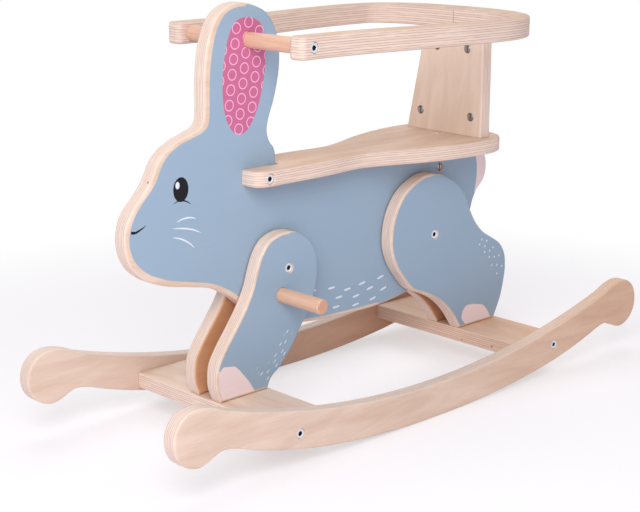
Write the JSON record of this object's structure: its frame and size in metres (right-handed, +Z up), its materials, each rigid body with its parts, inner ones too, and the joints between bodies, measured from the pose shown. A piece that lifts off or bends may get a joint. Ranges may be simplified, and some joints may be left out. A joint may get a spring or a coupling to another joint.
{
  "type": "rocking rabbit",
  "caption": "Ride-on rocking rabbit of plywood plates on two curved runners, with a saddle seat, leaning backrest, guard rail, handle dowel through the ear and footrest dowel.",
  "frame": {"origin": "on the floor, under the middle of the box round the whole toy", "axes": "+X to the rabbit's left, +Y to its tail along the runners, +Z up"},
  "size_m": [0.27, 0.7752, 0.4735],
  "materials": {
    "paint": "satin",
    "birch": "satin",
    "rail": "satin",
    "dowel": "satin",
    "steel": "satin"
  },
  "bodies": {
    "root": {"body_plate": "paint", "front_leg_left": "paint", "front_leg_right": "paint", "rear_leg_left": "paint", "rear_leg_right": "paint", "seat_board": "birch", "backrest_board": "birch", "rocker_left": "birch", "rocker_right": "birch", "front_cross_board": "birch", "rear_cross_board": "birch", "guard_rail_left": "rail", "guard_rail_right": "rail", "handle_dowel": "dowel", "footrest_dowel": "dowel", "rocker_bolt_front_left": "steel", "rocker_nut_front_left": "steel", "foot_bolt_front_left": "steel", "foot_nut_front_left": "steel", "rocker_bolt_front_right": "steel", "rocker_nut_front_right": "steel", "foot_bolt_front_right": "steel", "foot_nut_front_right": "steel", "rocker_bolt_rear_left": "steel", "rocker_nut_rear_left": "steel", "foot_bolt_rear_left": "steel", "foot_nut_rear_left": "steel", "rocker_bolt_rear_right": "steel", "rocker_nut_rear_right": "steel", "foot_bolt_rear_right": "steel", "foot_nut_rear_right": "steel", "front_leg_bolt": "steel", "front_leg_sleeve_nut": "steel", "rear_leg_bolt": "steel", "rear_leg_sleeve_nut": "steel", "seat_prong_bolt": "steel", "seat_prong_sleeve_nut": "steel", "seat_bolt": "steel", "seat_nut": "steel", "backrest_bolt_left": "steel", "backrest_nut_left": "steel", "rail_bolt_left": "steel", "rail_nut_left": "steel", "handle_bolt_left": "steel", "handle_insert_left": "steel", "backrest_bolt_right": "steel", "backrest_nut_right": "steel", "rail_bolt_right": "steel", "rail_nut_right": "steel", "handle_bolt_right": "steel", "handle_insert_right": "steel", "rocker_pin_front_left": "dowel", "foot_pin_front_left": "dowel", "rocker_pin_front_right": "dowel", "foot_pin_front_right": "dowel", "rocker_pin_rear_left": "dowel", "foot_pin_rear_left": "dowel", "rocker_pin_rear_right": "dowel", "foot_pin_rear_right": "dowel", "rail_pin": "dowel"}
  },
  "joints": []
}
